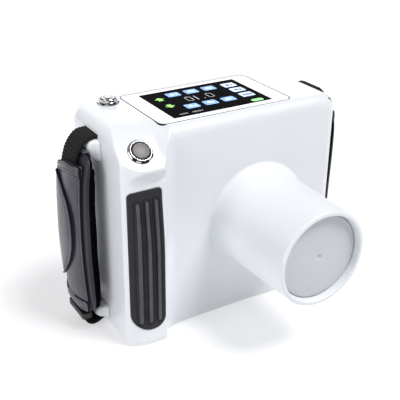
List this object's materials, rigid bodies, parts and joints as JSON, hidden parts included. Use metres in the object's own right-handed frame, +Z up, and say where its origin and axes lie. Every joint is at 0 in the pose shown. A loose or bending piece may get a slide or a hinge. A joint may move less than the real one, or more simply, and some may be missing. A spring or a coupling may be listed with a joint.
{
  "type": "intraoral x-ray unit",
  "caption": "Handheld intraoral x-ray unit: white box body with a wide front beam cone, display and metal buttons on top, ribbed rubber grip and a padded hand strap on each side.",
  "frame": {"origin": "centre of the unit's base, on the surface it stands on", "axes": "+X to the right as seen from the beam cone's side, so the grip is on the left; -Y is the way the beam leaves; +Z up"},
  "size_m": [0.2086, 0.148, 0.1469],
  "materials": {
    "white_shell": "glossy white moulded plastic",
    "window_acrylic": "polished acrylic over a printed white border",
    "display_panel": "dark display glass",
    "circuit_board": "green board",
    "chrome_ring": "polished chrome",
    "satin_steel": "satin metal",
    "dark_plastic": "dark moulded plastic",
    "rib_rubber": "soft charcoal rubber with three ribs",
    "grey_plastic": "light grey plastic",
    "lead_sheet": "dull grey shielding metal",
    "cast_aluminium": "cast, matt",
    "tube_glass": "clear glass envelope",
    "webbing": "black ribbed webbing",
    "leather": "dark purple-grey synthetic leather",
    "pad_leather": "dark synthetic leather over foam"
  },
  "bodies": {
    "body": {"housing": "white_shell", "rear_cover": "white_shell", "charging_socket": "dark_plastic", "rear_screw_1": "satin_steel", "rear_screw_2": "satin_steel", "rear_screw_3": "satin_steel", "rear_screw_4": "satin_steel", "grip_pad": "rib_rubber", "display_window": "window_acrylic", "lcd_module": "display_panel", "display_board": "circuit_board", "exposure_button_ring": "chrome_ring", "exposure_switch": "dark_plastic", "power_button_ring": "chrome_ring", "power_switch": "dark_plastic", "beam_cone": "white_shell", "aperture_disc": "grey_plastic", "cone_liner": "lead_sheet", "tube_head_case": "cast_aluminium", "tube_head_lid": "cast_aluminium", "collimator_plate": "lead_sheet", "aluminium_filter": "cast_aluminium", "xray_tube": "tube_glass", "high_voltage_board": "circuit_board", "battery_pack": "dark_plastic", "main_board": "circuit_board", "strap_lug_left_top": "white_shell", "strap_lug_left_bottom": "white_shell", "strap_pin_left_top": "satin_steel", "strap_pin_left_bottom": "satin_steel", "strap_webbing_left": "webbing", "strap_slider_left": "dark_plastic", "strap_tab_left": "leather", "strap_pad_left": "pad_leather", "strap_cover_left": "leather", "strap_flap_left": "leather", "strap_lug_right_top": "white_shell", "strap_lug_right_bottom": "white_shell", "strap_pin_right_top": "satin_steel", "strap_pin_right_bottom": "satin_steel", "strap_webbing_right": "webbing", "strap_slider_right": "dark_plastic", "strap_tab_right": "leather", "strap_pad_right": "pad_leather", "strap_cover_right": "leather", "strap_flap_right": "leather"},
    "exposure_button": {"exposure_button_cap": "satin_steel"},
    "power_button": {"power_button_cap": "satin_steel"}
  },
  "joints": [
    {"name": "exposure_press", "type": "slide", "parent": "body", "child": "exposure_button", "axis": [0, 0.6494, -0.7604], "range_m": [0, 0.0012], "stiffness_N_per_m": 2500},
    {"name": "power_press", "type": "slide", "parent": "body", "child": "power_button", "axis": [0, 0, -1], "range_m": [0, 0.0012], "stiffness_N_per_m": 2500}
  ]
}
